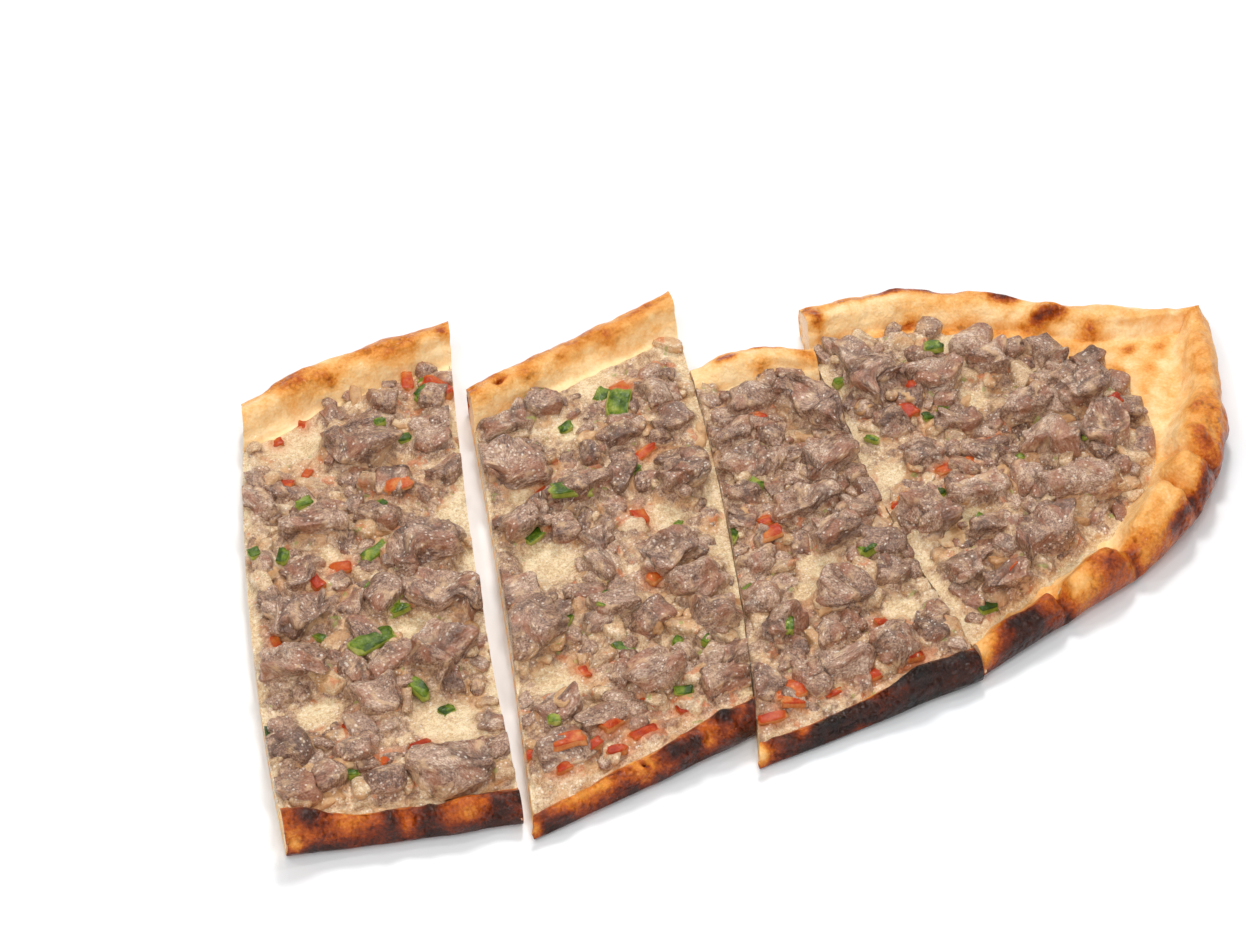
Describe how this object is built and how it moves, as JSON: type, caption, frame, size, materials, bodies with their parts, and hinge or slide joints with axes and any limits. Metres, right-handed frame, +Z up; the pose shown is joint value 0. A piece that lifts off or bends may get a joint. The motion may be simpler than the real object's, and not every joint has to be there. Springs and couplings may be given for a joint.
{
  "type": "turkish pide",
  "caption": "Pointed half of a boat-shaped flatbread with raised crimped rims, cut across into slices, topped with diced browned meat, green pepper and tomato.",
  "frame": {"origin": "on the table, under the middle of the row of slices", "axes": "+X along the boat to its pointed end, +Y to its back edge, +Z up"},
  "size_m": [0.276, 0.1652, 0.0145],
  "materials": {
    "crust": "baked bread, golden with toasted and charred patches",
    "topping": "moist soft layer of fat, onion and juices",
    "meat": "moist cooked lamb",
    "pepper": "moist cooked green pepper",
    "tomato": "moist cooked tomato"
  },
  "bodies": {
    "root": {"dough_1": "crust", "dough_2": "crust", "dough_3": "crust", "dough_4": "crust", "topping_1": "topping", "topping_2": "topping", "topping_3": "topping", "topping_4": "topping", "meat_1_1": "meat", "meat_1_2": "meat", "meat_1_3": "meat", "meat_1_4": "meat", "meat_1_5": "meat", "meat_1_6": "meat", "meat_1_7": "meat", "meat_1_8": "meat", "meat_2_1": "meat", "meat_2_2": "meat", "meat_2_3": "meat", "meat_2_4": "meat", "meat_2_5": "meat", "meat_2_6": "meat", "meat_2_7": "meat", "meat_2_8": "meat", "meat_2_9": "meat", "meat_3_1": "meat", "meat_3_2": "meat", "meat_3_3": "meat", "meat_3_4": "meat", "meat_3_5": "meat", "meat_3_6": "meat", "meat_3_7": "meat", "meat_3_8": "meat", "meat_4_1": "meat", "meat_4_2": "meat", "meat_4_3": "meat", "meat_4_4": "meat", "meat_4_5": "meat", "meat_4_6": "meat", "meat_4_7": "meat", "meat_4_8": "meat", "meat_4_9": "meat", "meat_4_10": "meat", "meat_4_11": "meat", "pepper_1": "pepper", "pepper_2": "pepper", "tomato_1": "tomato", "tomato_2": "tomato"}
  },
  "joints": []
}
